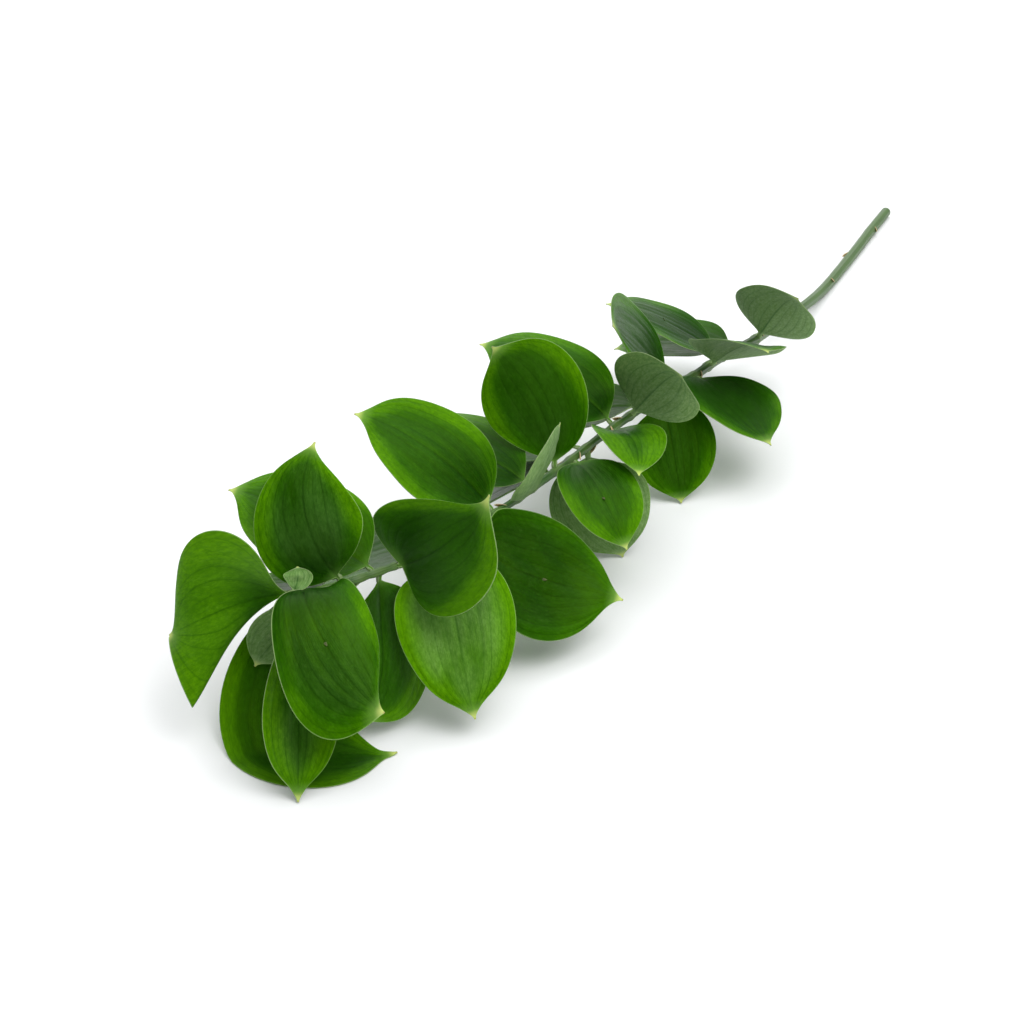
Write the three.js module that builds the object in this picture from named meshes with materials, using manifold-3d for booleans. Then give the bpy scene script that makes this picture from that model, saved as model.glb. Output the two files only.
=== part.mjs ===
// A leafy stem of ruscus, cut and laid down on a table. Millimetres, +Z up.
// The stem grows along +X, from its cut end to its growing end. It lies on the table at the cut end
// and rises from there, carried by the leaves that touch the table near the growing end.
// The leaves of this plant are stiff, broad blades with a pointed end. Each one is a separate piece,
// and each row of LEAVES poses one: where it leaves the stem, how it bends, how its halves fold.

import * as THREE from 'three';
import Module from 'manifold-3d';

const wasm = await Module();
wasm.setup();

// ---------- driving dimensions ----------

const FOOT_RADIUS = 2.7; // of the stem at its cut end
const TIP_RADIUS = 1.1; // of the stem at its growing end
const LYING_LENGTH = 95; // lower stretch that lies on the table and doesn't taper
const STEM_SIDES = 8;
const RING_STEP = 5.5; // along the stem, between its rings
const NODE_SWELLING = 0.4; // added to the radius where a leaf grows
const NODE_REACH = 2.4; // how far along the stem a swelling goes
const BUD_LENGTH = 1.2; // rounded end of the stem
const BUD_SHARE = 0.5; // of the radius, at the very end
const FRAME_REACH = 2; // each way along the stem, over which its direction is taken

const BLADE_THICKNESS = 0.8;
const BLADE_ROWS = 12; // from foot to point
const BLADE_COLUMNS = 6; // from edge to edge
const FOOT_GAP = 0.35; // between a blade's foot and the stem
const FOOT_HALF_WIDTH = 0.9; // of the short stalk that the blade narrows to
const POINT_HALF_WIDTH = 0.35; // of the stiff point at the blade's end
const STALK_SHARE = 0.03; // of the blade's length, before it widens
const USUAL_LOW = 0.8; // where the blade is widest: under 1 is nearer to the foot
const USUAL_LEAN = 0.6; // how quickly the blade narrows from its widest place: over 1 is pointed
const LOBE_FADE = 4; // how quickly the foot's lobes end along the blade
const FLICK_FROM = 0.8; // of the blade's length, where its point begins to be drawn aside
const TABLE_GAP = 0.05; // under a blade that is pressed flat on the table
const END_CROWDING = 0.4; // 0 for even rows, 1 for rows that crowd towards both ends of a blade
const NO_FOLD = 1e-6; // keeps a flat half from being divided by zero
const LEFT_WAVE_LEAD = 1.9; // radians by which the left edge's ripple runs ahead

const BRACT_LENGTH = 5; // papery scale under a leaf
const BRACT_HALF_WIDTH = 1.3;
const BRACT_LIFT = 1.6; // of its point, off the stem
const BRACT_THICKNESS = 0.6;
const BRACT_SINK = 0.9; // how deep its root goes into what it grows from
const BRACT_END_HALF_WIDTH = 0.15;
const BRACT_HOLLOW = 0.5; // how far its edges bend towards the stem at the root
const BRACT_ROWS = 3;
const BRACT_COLUMNS = 2;
const FACE_SCALE_SIZE = 0.8; // of a scale in the middle of a blade, against one on the stem
const BRACT_BELOW_LEAF = 7.4; // from the root of a scale to the foot of its leaf
const BRACT_ROOM = 10; // the least distance to the next leaf down the stem

const SIDE_ANGLE = Math.PI / STEM_SIDES;
const REST_HEIGHT = FOOT_RADIUS * Math.cos(SIDE_ANGLE); // of the axis, with one side on the table

// ---------- the stem's way: x, y, z ----------

const STEM_WAY = [
  [0, 0, 0], [30, 3, 0], [60, 6.5, 0], [95, 10, 2.3], [120, 12.5, 3.9], [148, 15.3, 8],
  [184, 17.6, 14.4], [222, 21.5, 21.5], [262, 22.5, 29.5], [300, 25.5, 36.5], [322, 24.5, 41],
  [350, 26, 44], [385, 26.5, 47.5], [421, 27, 50], [461, 26, 52], [492, 24, 54.5],
  [520, 20.5, 56.5], [539, 17, 58.5], [556, 11.5, 60], [566, 7.5, 61], [581, 0, 62],
];

// Scales of the bare lower stretch: x, and the angle round the stem from the top, +Y side positive.
const BARE_SCALES = [[26, 70], [64, -85], [103, 40], [143, -120], [183, 100]];

// ---------- the leaves ----------
// at: where the blade leaves the stem, by x
// bend: the point that the midrib sets out towards; fall: the point that it comes in from; tip: its end
// face: azimuth and elevation of the upper side at mid-length
// wide: full width; low: under 1 puts the widest place nearer to the foot
// lean: over USUAL_LEAN makes the halves less round
// heart: how far the left and the right lobe of the foot reach back
// curl: how far the left and the right half roll up, in degrees: left at foot and point, then right
// twist: turn of the blade about its midrib at the foot and at the point, in degrees
// sweep: how far the left and the right edge are drawn towards the point
// wave: height of the ripple along the edges, number of ripples, phase in degrees
// flick: how far the point is drawn aside
// scale: the blade carries a small papery scale in mid-face

const LEAVES = [
  { name: 'leaf_01', at: 580.3, bend: [582, -15, 60], fall: [607, -21, 62], tip: [604, -41, 45],
    face: [26, 12], wide: 61, low: 1.1, lean: 1.1, heart: [-8, -26], curl: [-60, 40, 60, -30],
    twist: [28, -14], sweep: [23, -12], wave: [0.5, 1, 0] },
  { name: 'leaf_02', at: 577.5, bend: [593, 9, 82], fall: [602, 27, 50], tip: [596, 48, 36],
    face: [30, 50], wide: 43, low: 1.15, lean: 0.5, heart: [10, -12], curl: [-50, -20, 0, -15],
    sweep: [-10, 16], wave: [0.7, 1.2, 40], scale: true },
  { name: 'leaf_03', at: 575, bend: [591, 8, 44], fall: [607, 17, 20], tip: [617, 23, 0.6],
    face: [60, 30], wide: 29, low: 1.2, curl: [25, 10, 25, 10], wave: [0.6, 1, 90] },
  { name: 'leaf_04', at: 572.5, bend: [571, -3, 44], fall: [575, -14, 39], tip: [581, -20, 25],
    face: [-150, 10], wide: 25, low: 1.1, curl: [-15, -10, -15, -10] },
  { name: 'leaf_05', at: 569.5, bend: [561, -15, 53], fall: [574, -36, 50], tip: [582, -48, 40],
    face: [-100, 60], wide: 30, curl: [20, 10, 20, 10] },
  { name: 'leaf_06', at: 555, bend: [557, -26, 12], fall: [618, -2, -7], tip: [573, 38, 1],
    face: [60, 75], wide: 52, low: 1.1, curl: [10, 0, 10, 0] },
  { name: 'leaf_07', at: 563.5, bend: [571, 0, 76], fall: [563, -12, 96], tip: [549, -10, 109],
    face: [20, 30], wide: 40, low: 0.84, lean: 0.7, curl: [20, -12, 20, -12], sweep: [-6, -2],
    wave: [0.7, 1.5, 20] },
  { name: 'leaf_08', at: 546, bend: [548, 14, 38], fall: [556, 26, 16], tip: [575, 24, 11],
    face: [75, 35], wide: 45, low: 1, curl: [0, 0, 0, -10], sweep: [0, 15] },
  { name: 'leaf_09', at: 548.4, bend: [551, -11, 72], fall: [552, -32, 84], tip: [556, -46, 82],
    face: [60, 60], wide: 45, curl: [20, -10, 20, -10], wave: [0.8, 1.3, 70], scale: true },
  { name: 'leaf_10', at: 539, bend: [541, 34, 67], fall: [541, 46, 80], tip: [539, 58, 95],
    face: [-14, 22], wide: 51, low: 0.7, lean: 0.7, heart: [30, 2], curl: [10, -10, 10, -10],
    sweep: [-11, 9], wave: [0.6, 1, 30], flick: [-2.4, -0.7, 4.4] },
  { name: 'leaf_11', at: 520, bend: [526, 37, 48], fall: [548, 50.5, 28], tip: [551, 59, 10],
    face: [39, 40], wide: 45, low: 0.72, curl: [20, -10, 20, -10], wave: [0.8, 1.4, 0] },
  { name: 'leaf_12', at: 505, bend: [510, 2, 50], fall: [522, -22, 42], tip: [524, -36, 26],
    face: [-70, 60], wide: 47, curl: [25, -5, 25, -5], wave: [0.9, 1.2, 120] },
  { name: 'leaf_13', at: 492, bend: [499, 38, 36], fall: [469, 57, 26], tip: [464, 76, 21],
    face: [39, 50], wide: 50, low: 0.9, lean: 0.75, heart: [34, 0], curl: [25, -10, 25, -10],
    wave: [0.7, 1.2, 60], scale: true },
  { name: 'leaf_14', at: 461, bend: [463, 38, 60], fall: [462, 44, 80], tip: [452, 40, 86],
    face: [-83, 45], wide: 34, curl: [50, 10, 50, 10] },
  { name: 'leaf_15', at: 450, bend: [454, 4, 66], fall: [460, -22, 72], tip: [463, -38, 64],
    face: [-60, 75], wide: 46, curl: [20, -10, 20, -10], wave: [0.9, 1.3, 10] },
  { name: 'leaf_16', at: 430, bend: [434, 4, 40], fall: [440, -20, 20], tip: [442, -30, 0.6],
    face: [-80, 40], wide: 45, curl: [25, 5, 25, 5], wave: [0.8, 1.1, 80] },
  { name: 'leaf_17', at: 419, bend: [427, 42, 52], fall: [440, 59, 42], tip: [442, 66, 30],
    face: [60, 60], wide: 34, curl: [20, 0, 20, 0], wave: [0.6, 1, 0], scale: true },
  { name: 'leaf_18', at: 405, bend: [412, 34, 30], fall: [408, 42, 18], tip: [404, 45, 0.6],
    face: [-141, 0], wide: 42, curl: [20, 0, 20, 0], wave: [0.8, 1.5, 50] },
  { name: 'leaf_19', at: 389, bend: [392, 38, 57], fall: [406, 52, 62], tip: [417, 58, 50],
    face: [60, 60], wide: 30, curl: [30, 0, 30, 0] },
  { name: 'leaf_20', at: 378, bend: [379, 6, 63], fall: [383, -20, 76], tip: [386, -36, 74],
    face: [70, 65], wide: 46, curl: [20, -10, 20, -10], wave: [0.9, 1.2, 0] },
  { name: 'leaf_21', at: 350, bend: [356, 4, 40], fall: [368, -18, 36], tip: [374, -30, 26],
    face: [-70, 60], wide: 45, curl: [25, -5, 25, -5], wave: [0.8, 1.3, 30] },
  { name: 'leaf_22', at: 322, bend: [330, 16, 62], fall: [350, 12, 82], tip: [362, 16, 85],
    face: [30, 60], wide: 45, curl: [20, 0, 20, 0], wave: [0.8, 1.2, 90] },
  { name: 'leaf_23', at: 300, bend: [308, 42, 40], fall: [322, 62, 38], tip: [328, 78, 28],
    face: [80, 60], wide: 46, curl: [25, -5, 25, -5], wave: [0.9, 1.3, 60] },
  { name: 'leaf_24', at: 262, bend: [268, 6, 42], fall: [282, -12, 56], tip: [288, -26, 56],
    face: [-60, 65], wide: 44, curl: [20, -10, 20, -10], wave: [0.8, 1.2, 20], scale: true },
  { name: 'leaf_25', at: 222, bend: [230, 32, 38], fall: [242, 44, 58], tip: [250, 54, 62],
    face: [160, 50], wide: 40, curl: [20, -5, 20, -5], wave: [0.8, 1.1, 50] },
  { name: 'leaf_26', at: 242, bend: [246, 2, 26], fall: [256, -18, 28], tip: [263, -34, 20],
    face: [-70, 60], wide: 42, curl: [25, -5, 25, -5], wave: [0.8, 1.2, 40] },
  { name: 'leaf_27', at: 281, bend: [287, 40, 50], fall: [300, 54, 64], tip: [309, 66, 62],
    face: [70, 60], wide: 42, curl: [20, -8, 20, -8], wave: [0.9, 1.3, 15] },
  { name: 'leaf_28', at: 336, bend: [338, 34, 30], fall: [346, 42, 12], tip: [350, 46, 0.6],
    face: [39, 20], wide: 38, curl: [15, -5, 15, -5], wave: [0.8, 1.1, 75] },
  { name: 'leaf_29', at: 364, bend: [368, 40, 64], fall: [376, 52, 80], tip: [384, 60, 82],
    face: [70, 50], wide: 40, curl: [20, -10, 20, -10], wave: [0.8, 1.2, 100] },
  { name: 'leaf_30', at: 406, bend: [412, 6, 51], fall: [421, -18, 46], tip: [426, -33, 34],
    face: [-70, 60], wide: 42, curl: [25, -5, 25, -5], wave: [0.9, 1.2, 60] },
  { name: 'leaf_31', at: 431.5, bend: [427, 23, 75], fall: [432, 9, 95], tip: [442, 3, 106],
    face: [30, 30], wide: 42, low: 1.05, curl: [20, -12, 20, -12], wave: [0.8, 1.3, 35] },
  { name: 'leaf_32', at: 478, bend: [482, 8, 74], fall: [489, -14, 90], tip: [496, -28, 92],
    face: [60, 60], wide: 44, curl: [20, -10, 20, -10], wave: [0.9, 1.2, 5] },
  { name: 'young_leaf', at: 580.5, bend: [577, -0.6, 66.5], fall: [575.5, -1.5, 68.5],
    tip: [574.5, -2.5, 71], face: [39, 30], wide: 9, low: 1.1, curl: [40, 20, 40, 20] },
];

// ---------- helpers ----------

const lerp = THREE.MathUtils.lerp;
const radians = THREE.MathUtils.degToRad;

function vector(list) {
  return new THREE.Vector3(list[0], list[1], list[2]);
}

function unitFromAngles(azimuth, elevation) {
  const a = radians(azimuth);
  const e = radians(elevation);
  return new THREE.Vector3(Math.cos(e) * Math.cos(a), Math.cos(e) * Math.sin(a), Math.sin(e));
}

// The part of v that stands square to a unit direction, at length 1.
function squareTo(v, direction) {
  return v.clone().addScaledVector(direction, -v.dot(direction)).normalize();
}

// ---------- the stem's axis ----------

const WAY_SAMPLES = 2400; // of the stem's axis
const way = new THREE.CatmullRomCurve3(STEM_WAY.map(vector), false, 'catmullrom', 0.5)
  .getPoints(WAY_SAMPLES)
  .map((p) => p.setZ(Math.max(p.z, REST_HEIGHT)));
const wayLength = [0];
for (let i = 1; i < way.length; i += 1) {
  wayLength.push(wayLength[i - 1] + way[i].distanceTo(way[i - 1]));
}
const STEM_LENGTH = wayLength[wayLength.length - 1];

// Distance from the cut end at a given x, which only grows along the stem.
function alongAt(x) {
  const i = Math.max(1, way.findIndex((p) => p.x >= x));
  const t = (x - way[i - 1].x) / (way[i].x - way[i - 1].x);
  return lerp(wayLength[i - 1], wayLength[i], t);
}

function axisPoint(along) {
  const reach = THREE.MathUtils.clamp(along, 0, STEM_LENGTH);
  const i = Math.max(1, wayLength.findIndex((l) => l >= reach));
  const t = (reach - wayLength[i - 1]) / (wayLength[i] - wayLength[i - 1]);
  return way[i - 1].clone().lerp(way[i], t);
}

function axisFrame(along) {
  const tangent = axisPoint(along + FRAME_REACH).sub(axisPoint(along - FRAME_REACH)).normalize();
  const up = squareTo(new THREE.Vector3(0, 0, 1), tangent);
  const side = new THREE.Vector3().crossVectors(up, tangent);
  return { centre: axisPoint(along), tangent, up, side };
}

const leafPlaces = LEAVES.map((leaf) => alongAt(leaf.at));

function stemRadius(along) {
  const lying = alongAt(LYING_LENGTH);
  const share = THREE.MathUtils.clamp((along - lying) / (STEM_LENGTH - lying), 0, 1);
  let swelling = 0;
  for (const place of leafPlaces) {
    swelling = Math.max(swelling, Math.exp(-(((along - place) / NODE_REACH) ** 2)));
  }
  return lerp(FOOT_RADIUS, TIP_RADIUS, share) + NODE_SWELLING * swelling;
}

// ---------- closed meshes ----------

function solidFrom(points, triangles) {
  const positions = new Float32Array(points.flatMap((p) => [p.x, p.y, p.z]));
  const mesh = new wasm.Mesh({
    numProp: 3,
    vertProperties: positions,
    triVerts: new Uint32Array(triangles),
  });
  return new wasm.Manifold(mesh);
}

function geometryFrom(solid) {
  const mesh = solid.getMesh();
  const geometry = new THREE.BufferGeometry();
  const positions = new Float32Array(mesh.vertProperties);
  geometry.setAttribute('position', new THREE.BufferAttribute(positions, 3));
  geometry.setIndex(Array.from(mesh.triVerts));
  return geometry;
}

// A blade of even thickness on both sides of a middle surface. Both faces are split into
// triangles the same way, and a rim joins them.
function solidFromSurface(surface, thickness) {
  const rows = surface.length - 1;
  const columns = surface[0].length - 1;
  const index = (i, j) => i * (columns + 1) + j;
  const upper = [];
  const lower = [];
  for (let i = 0; i <= rows; i += 1) {
    for (let j = 0; j <= columns; j += 1) {
      const along = surface[Math.min(i + 1, rows)][j].clone().sub(surface[Math.max(i - 1, 0)][j]);
      const across = surface[i][Math.min(j + 1, columns)].clone().sub(surface[i][Math.max(j - 1, 0)]);
      const normal = across.cross(along).normalize();
      upper.push(surface[i][j].clone().addScaledVector(normal, thickness / 2));
      lower.push(surface[i][j].clone().addScaledVector(normal, -thickness / 2));
    }
  }
  const count = upper.length;
  const triangles = [];
  for (let i = 0; i < rows; i += 1) {
    for (let j = 0; j < columns; j += 1) {
      const [a, b, c, d] = [index(i, j), index(i, j + 1), index(i + 1, j + 1), index(i + 1, j)];
      triangles.push(a, b, c, a, c, d);
      triangles.push(a + count, c + count, b + count, a + count, d + count, c + count);
    }
  }
  const rim = [];
  for (let j = 0; j < columns; j += 1) rim.push(index(0, j));
  for (let i = 0; i < rows; i += 1) rim.push(index(i, columns));
  for (let j = columns; j > 0; j -= 1) rim.push(index(rows, j));
  for (let i = rows; i > 0; i -= 1) rim.push(index(i, 0));
  rim.forEach((a, k) => {
    const b = rim[(k + 1) % rim.length];
    triangles.push(b, a, a + count, b, a + count, b + count);
  });
  return solidFrom([...upper, ...lower], triangles);
}

// ---------- leaves ----------

// Half the blade's width, as a share of its widest place.
function outline(v, low, lean) {
  const u = THREE.MathUtils.clamp((v - STALK_SHARE) / (1 - STALK_SHARE), 0, 1);
  const body = Math.sin(Math.PI * u ** low) ** lean;
  const drawnOut = (1 - u ** 18) ** 3;
  return Math.max(0, body * drawnOut * (1 - (1 - u) ** 24));
}

// A blade that leans along the stem starts further out, so that its foot's corners stay clear.
function footOf(leaf) {
  const along = alongAt(leaf.at);
  const { centre, tangent } = axisFrame(along);
  const heading = vector(leaf.bend).sub(centre).normalize();
  const lean = Math.abs(heading.dot(tangent));
  const reach = stemRadius(along) + FOOT_GAP + FOOT_HALF_WIDTH * lean;
  return centre.addScaledVector(squareTo(heading, tangent), reach);
}

// Points of the midrib, with the directions along it, out of its upper side and to its right.
function midrib(leaf, rows) {
  const foot = footOf(leaf);
  const curve = new THREE.CubicBezierCurve3(foot, vector(leaf.bend), vector(leaf.fall), vector(leaf.tip));
  const crowded = (u) => (1 - Math.cos(Math.PI * u)) / 2;
  const share = (i) => lerp(i / rows, crowded(i / rows), END_CROWDING);
  const points = [];
  for (let i = 0; i <= rows; i += 1) points.push(curve.getPointAt(share(i)));
  const tangents = points.map((_, i) => {
    const ahead = points[Math.min(i + 1, rows)].clone();
    return ahead.sub(points[Math.max(i - 1, 0)]).normalize();
  });
  const face = unitFromAngles(leaf.face[0], leaf.face[1]);
  const middle = Math.floor(rows / 2);
  const normals = [];
  normals[middle] = squareTo(face, tangents[middle]);
  for (let i = middle + 1; i <= rows; i += 1) normals[i] = squareTo(normals[i - 1], tangents[i]);
  for (let i = middle - 1; i >= 0; i -= 1) normals[i] = squareTo(normals[i + 1], tangents[i]);
  return points.map((point, i) => ({
    point,
    v: share(i),
    tangent: tangents[i],
    normal: normals[i],
    right: new THREE.Vector3().crossVectors(tangents[i], normals[i]),
  }));
}

function bladeRow(leaf, rib, columns) {
  const { low = USUAL_LOW, lean = USUAL_LEAN, heart = [0, 0] } = leaf;
  const { curl = [0, 0, 0, 0], twist = [0, 0], sweep = [0, 0], wave = [0, 1, 0] } = leaf;
  const { flick = [0, 0, 0] } = leaf;
  const v = rib.v;
  const turn = radians(lerp(twist[0], twist[1], v));
  const right = rib.right.clone().multiplyScalar(Math.cos(turn));
  right.addScaledVector(rib.normal, Math.sin(turn));
  const normal = rib.normal.clone().multiplyScalar(Math.cos(turn));
  normal.addScaledVector(rib.right, -Math.sin(turn));
  const shape = outline(v, low, lean);
  const half = (leaf.wide / 2) * shape + lerp(FOOT_HALF_WIDTH, POINT_HALF_WIDTH, v);
  const swell = Math.sin(Math.PI * v);
  const lobe = shape * (1 - v) ** LOBE_FADE;
  const aside = THREE.MathUtils.clamp((v - FLICK_FROM) / (1 - FLICK_FROM), 0, 1) ** 2;
  const middle = rib.point.clone().addScaledVector(vector(flick), aside);
  const row = [];
  for (let j = 0; j <= columns; j += 1) {
    const s = (2 * j) / columns - 1;
    const left = s < 0;
    const fold = radians(left ? lerp(curl[0], curl[1], v) : lerp(curl[2], curl[3], v)) + NO_FOLD;
    const lead = left ? LEFT_WAVE_LEAD : 0;
    const ripple = Math.sin(2 * Math.PI * wave[1] * v + radians(wave[2]) + lead);
    const across = (half * Math.sin(fold * s)) / fold;
    const rise = (half * (1 - Math.cos(fold * s))) / fold + wave[0] * swell * s * s * ripple;
    const ahead = s * s * (sweep[left ? 0 : 1] * swell - heart[left ? 0 : 1] * lobe);
    const p = middle.clone().addScaledVector(right, across);
    row.push(p.addScaledVector(normal, rise).addScaledVector(rib.tangent, ahead));
  }
  return row;
}

// What would dip into the table is pressed flat on it.
function onTable(point) {
  return point.setZ(Math.max(point.z, BLADE_THICKNESS / 2 + TABLE_GAP));
}

function bladeSolid(leaf) {
  const surface = midrib(leaf, BLADE_ROWS).map((rib) => bladeRow(leaf, rib, BLADE_COLUMNS).map(onTable));
  const blade = solidFromSurface(surface, BLADE_THICKNESS);
  if (!leaf.scale) return blade;
  const i = Math.floor(BLADE_ROWS / 2);
  const j = BLADE_COLUMNS / 2;
  const root = surface[i][j].clone();
  const ahead = surface[i + 1][j].clone().sub(surface[i - 1][j]).normalize();
  const across = surface[i][j + 1].clone().sub(surface[i][j - 1]);
  const out = across.cross(ahead).normalize();
  root.addScaledVector(out, -BLADE_THICKNESS / 4);
  return blade.add(scaleSolid(root, ahead, out, FACE_SCALE_SIZE));
}

// ---------- papery scales ----------

// A small pointed scale that rises from its root and hugs what it grows on.
function scaleSolid(root, ahead, out, size) {
  const side = new THREE.Vector3().crossVectors(ahead, out);
  const surface = [];
  for (let i = 0; i <= BRACT_ROWS; i += 1) {
    const v = i / BRACT_ROWS;
    const half = size * BRACT_HALF_WIDTH * Math.cos((Math.PI / 2) * v ** 1.5) + BRACT_END_HALF_WIDTH;
    const row = [];
    for (let j = 0; j <= BRACT_COLUMNS; j += 1) {
      const s = (2 * j) / BRACT_COLUMNS - 1;
      const p = root.clone().addScaledVector(ahead, size * BRACT_LENGTH * v);
      const rise = (BRACT_LIFT + BRACT_SINK) * v - BRACT_HOLLOW * s * s * (1 - v);
      p.addScaledVector(out, size * rise);
      row.push(p.addScaledVector(side, half * s));
    }
    surface.push(row);
  }
  return solidFromSurface(surface, BRACT_THICKNESS);
}

function stemScale(along, out) {
  const { centre, tangent } = axisFrame(along);
  const square = squareTo(out, tangent);
  const root = centre.addScaledVector(square, stemRadius(along) - BRACT_SINK);
  return scaleSolid(root, tangent, square, 1);
}

// ---------- the stem ----------

function stemRings() {
  const places = [];
  const steps = Math.round((STEM_LENGTH - BUD_LENGTH) / RING_STEP);
  for (let i = 0; i <= steps; i += 1) places.push(((STEM_LENGTH - BUD_LENGTH) * i) / steps);
  const rings = places.map((along) => ({ along, radius: stemRadius(along) }));
  rings.push({ along: STEM_LENGTH, radius: BUD_SHARE * TIP_RADIUS });
  return rings;
}

function stemSolid() {
  const rings = stemRings();
  const points = [];
  for (const { along, radius } of rings) {
    const { centre, up, side } = axisFrame(along);
    for (let k = 0; k < STEM_SIDES; k += 1) {
      const angle = SIDE_ANGLE * (2 * k + 1);
      const p = centre.clone().addScaledVector(up, -radius * Math.cos(angle));
      points.push(p.addScaledVector(side, radius * Math.sin(angle)));
    }
  }
  const triangles = [];
  for (let i = 0; i < rings.length - 1; i += 1) {
    for (let k = 0; k < STEM_SIDES; k += 1) {
      const next = (k + 1) % STEM_SIDES;
      const [a, b] = [i * STEM_SIDES + k, i * STEM_SIDES + next];
      triangles.push(a, b, b + STEM_SIDES, a, b + STEM_SIDES, a + STEM_SIDES);
    }
  }
  const last = (rings.length - 1) * STEM_SIDES;
  for (let k = 1; k < STEM_SIDES - 1; k += 1) {
    triangles.push(0, k + 1, k);
    triangles.push(last, last + k, last + k + 1);
  }
  return solidFrom(points, triangles);
}

// Each leaf with room under it has a scale below its foot, on the side where the leaf grows.
function leafScales() {
  const scales = [];
  LEAVES.forEach((leaf, n) => {
    const below = leafPlaces.filter((place) => place < leafPlaces[n] - 0.1);
    const room = leafPlaces[n] - Math.max(0, ...below);
    if (room < BRACT_ROOM) return;
    const along = leafPlaces[n] - BRACT_BELOW_LEAF;
    scales.push(stemScale(along, vector(leaf.bend).sub(axisPoint(leafPlaces[n]))));
  });
  return scales;
}

function bareScales() {
  return BARE_SCALES.map(([x, angle]) => {
    const along = alongAt(x);
    const { up, side } = axisFrame(along);
    const out = up.multiplyScalar(Math.cos(radians(angle)));
    return stemScale(along, out.addScaledVector(side, Math.sin(radians(angle))));
  });
}

// ---------- materials ----------

function leafMaterial(colour) {
  return new THREE.MeshStandardMaterial({ color: colour, roughness: 0.42, metalness: 0 });
}

const LEAF_GREENS = [0x4f8f1e, 0x2f6b1c, 0x3f7a24, 0x57903a];
const stemMaterial = new THREE.MeshStandardMaterial({ color: 0x35602a, roughness: 0.5, metalness: 0 });

// ---------- the object ----------

const group = new THREE.Group();
group.name = 'ruscus_stem';

function addMesh(name, solid, material) {
  const mesh = new THREE.Mesh(geometryFrom(solid), material);
  mesh.name = name;
  group.add(mesh);
}

let stem = stemSolid();
for (const scale of [...leafScales(), ...bareScales()]) stem = stem.add(scale);
addMesh('stem', stem, stemMaterial);
LEAVES.forEach((leaf, n) => {
  const colour = leaf.name === 'young_leaf' ? 0xa9c58a : LEAF_GREENS[n % LEAF_GREENS.length];
  addMesh(leaf.name, bladeSolid(leaf), leafMaterial(colour));
});

// The origin is under the middle of the whole stem, on the table.
const box = new THREE.Box3();
for (const mesh of group.children) {
  mesh.geometry.computeBoundingBox();
  box.union(mesh.geometry.boundingBox);
}
const centre = box.getCenter(new THREE.Vector3());
for (const mesh of group.children) {
  mesh.geometry.translate(-centre.x, -centre.y, -box.min.z);
  mesh.geometry.computeVertexNormals();
}

export default group;
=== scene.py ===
# %% [markdown]
# # A leafy stem of ruscus, lying on a table
# A florist's ruscus stem is stiff, smooth and green. What look like its leaves are flattened side
# shoots: leathery blades with veins that run from foot to point, a pale hard margin and a sharp
# yellow point. Papery scales sit on the stem below them. The solids already hold every blade and
# the stem in their places, so the work here is to rebuild each of them finely on the same lines,
# with veins, rounded margins and living colour. Everything is in metres, in the solids' own frame.

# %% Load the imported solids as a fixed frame
import math
import bpy
import numpy as np
from mathutils import Matrix, Vector


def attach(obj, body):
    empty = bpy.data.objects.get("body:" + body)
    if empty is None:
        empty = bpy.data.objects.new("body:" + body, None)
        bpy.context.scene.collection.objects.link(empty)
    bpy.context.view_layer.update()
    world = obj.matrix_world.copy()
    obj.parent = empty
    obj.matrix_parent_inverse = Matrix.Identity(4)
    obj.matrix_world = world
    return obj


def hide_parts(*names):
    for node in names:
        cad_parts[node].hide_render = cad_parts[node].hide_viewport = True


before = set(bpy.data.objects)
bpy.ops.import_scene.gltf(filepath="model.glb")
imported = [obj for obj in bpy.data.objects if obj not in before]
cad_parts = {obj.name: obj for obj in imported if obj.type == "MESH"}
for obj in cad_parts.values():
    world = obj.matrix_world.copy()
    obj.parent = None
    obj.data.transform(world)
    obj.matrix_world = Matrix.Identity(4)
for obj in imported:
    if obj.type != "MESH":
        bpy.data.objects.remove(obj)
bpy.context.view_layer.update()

MM = 0.001

# %% [markdown]
# ## Where things are
# The stem's axis is a smooth curve through given points, and each blade is posed by a few
# values: where it leaves the stem, the two handles and the end of its midrib, which way its upper
# side faces, and how its halves roll. The solids were made from the same values, so they are
# repeated here, in millimetres from the stem's cut end. One shift takes them into the frame: it is
# measured as the middle of the stem's cut face.

# %% The stem's way and its sizes, in millimetres
STEM_WAY = np.array([
    [0, 0, 0], [30, 3, 0], [60, 6.5, 0], [95, 10, 2.3], [120, 12.5, 3.9], [148, 15.3, 8],
    [184, 17.6, 14.4], [222, 21.5, 21.5], [262, 22.5, 29.5], [300, 25.5, 36.5], [322, 24.5, 41],
    [350, 26, 44], [385, 26.5, 47.5], [421, 27, 50], [461, 26, 52], [492, 24, 54.5],
    [520, 20.5, 56.5], [539, 17, 58.5], [556, 11.5, 60], [566, 7.5, 61], [581, 0, 62]], float)
FOOT_RADIUS, TIP_RADIUS = 2.7, 1.1  # of the stem at its cut and its growing end
LYING_LENGTH = 95  # lower stretch that lies on the table and doesn't taper
NODE_SWELLING, NODE_REACH = 0.4, 2.4  # added to the radius at a leaf, and how far along
SOLID_SIDES = 8  # of the stem's solid, which rests on one of them
REST_HEIGHT = FOOT_RADIUS * math.cos(math.pi / SOLID_SIDES)
print("points of the way:", len(STEM_WAY), "height of the lying axis:", round(REST_HEIGHT, 2))
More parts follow.
